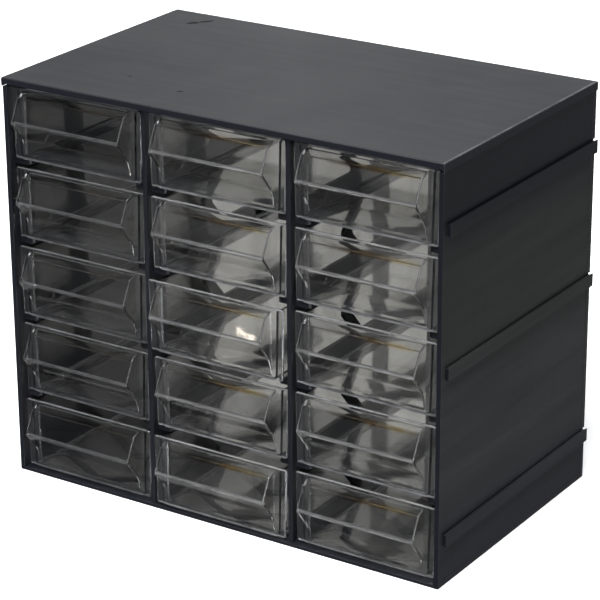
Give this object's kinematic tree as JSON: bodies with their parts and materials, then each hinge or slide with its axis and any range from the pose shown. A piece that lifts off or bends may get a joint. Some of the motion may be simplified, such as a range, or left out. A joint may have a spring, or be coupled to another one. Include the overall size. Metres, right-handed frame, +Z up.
{
  "type": "parts bin cabinet",
  "caption": "Benchtop cabinet for small parts: a black plastic case holding rows of clear sliding drawers, with rails on its sides for joining it to its neighbours.",
  "frame": {"origin": "centre of the base plate's underside, where the cabinet stands", "axes": "+X to the right when facing the drawers, +Y from the drawer fronts to the rear, +Z up"},
  "size_m": [0.309, 0.1936, 0.258],
  "materials": {
    "case_plastic": "satin moulded",
    "cover_plastic": "satin moulded, lightly scuffed",
    "clear_plastic": "clear, polished"
  },
  "bodies": {
    "cabinet": {"top_cover": "cover_plastic", "base_plate": "case_plastic", "left_side_panel": "case_plastic", "right_side_panel": "case_plastic", "divider_left": "case_plastic", "divider_right": "case_plastic", "rear_strap": "case_plastic", "runner_r1c1_left": "case_plastic", "runner_r1c1_right": "case_plastic", "runner_r1c2_left": "case_plastic", "runner_r1c2_right": "case_plastic", "runner_r1c3_left": "case_plastic", "runner_r1c3_right": "case_plastic", "runner_r2c1_left": "case_plastic", "runner_r2c1_right": "case_plastic", "runner_r2c2_left": "case_plastic", "runner_r2c2_right": "case_plastic", "runner_r2c3_left": "case_plastic", "runner_r2c3_right": "case_plastic", "runner_r3c1_left": "case_plastic", "runner_r3c1_right": "case_plastic", "runner_r3c2_left": "case_plastic", "runner_r3c2_right": "case_plastic", "runner_r3c3_left": "case_plastic", "runner_r3c3_right": "case_plastic", "runner_r4c1_left": "case_plastic", "runner_r4c1_right": "case_plastic", "runner_r4c2_left": "case_plastic", "runner_r4c2_right": "case_plastic", "runner_r4c3_left": "case_plastic", "runner_r4c3_right": "case_plastic"},
    "drawer_r1c1": {"drawer_r1c1": "clear_plastic"},
    "drawer_r1c2": {"drawer_r1c2": "clear_plastic"},
    "drawer_r1c3": {"drawer_r1c3": "clear_plastic"},
    "drawer_r2c1": {"drawer_r2c1": "clear_plastic"},
    "drawer_r2c2": {"drawer_r2c2": "clear_plastic"},
    "drawer_r2c3": {"drawer_r2c3": "clear_plastic"},
    "drawer_r3c1": {"drawer_r3c1": "clear_plastic"},
    "drawer_r3c2": {"drawer_r3c2": "clear_plastic"},
    "drawer_r3c3": {"drawer_r3c3": "clear_plastic"},
    "drawer_r4c1": {"drawer_r4c1": "clear_plastic"},
    "drawer_r4c2": {"drawer_r4c2": "clear_plastic"},
    "drawer_r4c3": {"drawer_r4c3": "clear_plastic"},
    "drawer_r5c1": {"drawer_r5c1": "clear_plastic"},
    "drawer_r5c2": {"drawer_r5c2": "clear_plastic"},
    "drawer_r5c3": {"drawer_r5c3": "clear_plastic"}
  },
  "joints": [
    {"name": "slide_r1c1", "type": "slide", "parent": "cabinet", "child": "drawer_r1c1", "axis": [0, -1, 0], "range_m": [-0.0012, 0.1388]},
    {"name": "slide_r1c2", "type": "slide", "parent": "cabinet", "child": "drawer_r1c2", "axis": [0, -1, 0], "range_m": [-0.0006, 0.1394]},
    {"name": "slide_r1c3", "type": "slide", "parent": "cabinet", "child": "drawer_r1c3", "axis": [0, -1, 0], "range_m": [-0.0006, 0.1394]},
    {"name": "slide_r2c1", "type": "slide", "parent": "cabinet", "child": "drawer_r2c1", "axis": [0, -1, 0], "range_m": [-0.0002, 0.1398]},
    {"name": "slide_r2c2", "type": "slide", "parent": "cabinet", "child": "drawer_r2c2", "axis": [0, -1, 0], "range_m": [-0.0004, 0.1396]},
    {"name": "slide_r2c3", "type": "slide", "parent": "cabinet", "child": "drawer_r2c3", "axis": [0, -1, 0], "range_m": [-0.0002, 0.1398]},
    {"name": "slide_r3c1", "type": "slide", "parent": "cabinet", "child": "drawer_r3c1", "axis": [0, -1, 0], "range_m": [-0.0004, 0.1396]},
    {"name": "slide_r3c2", "type": "slide", "parent": "cabinet", "child": "drawer_r3c2", "axis": [0, -1, 0], "range_m": [-0.005, 0.135]},
    {"name": "slide_r3c3", "type": "slide", "parent": "cabinet", "child": "drawer_r3c3", "axis": [0, -1, 0], "range_m": [-0.0004, 0.1396]},
    {"name": "slide_r4c1", "type": "slide", "parent": "cabinet", "child": "drawer_r4c1", "axis": [0, -1, 0], "range_m": [0, 0.14]},
    {"name": "slide_r4c2", "type": "slide", "parent": "cabinet", "child": "drawer_r4c2", "axis": [0, -1, 0], "range_m": [-0.0008, 0.1392]},
    {"name": "slide_r4c3", "type": "slide", "parent": "cabinet", "child": "drawer_r4c3", "axis": [0, -1, 0], "range_m": [-0.0003, 0.1397]},
    {"name": "slide_r5c1", "type": "slide", "parent": "cabinet", "child": "drawer_r5c1", "axis": [0, -1, 0], "range_m": [-0.001, 0.139]},
    {"name": "slide_r5c2", "type": "slide", "parent": "cabinet", "child": "drawer_r5c2", "axis": [0, -1, 0], "range_m": [-0.0034, 0.1366]},
    {"name": "slide_r5c3", "type": "slide", "parent": "cabinet", "child": "drawer_r5c3", "axis": [0, -1, 0], "range_m": [-0.0005, 0.1395]}
  ]
}
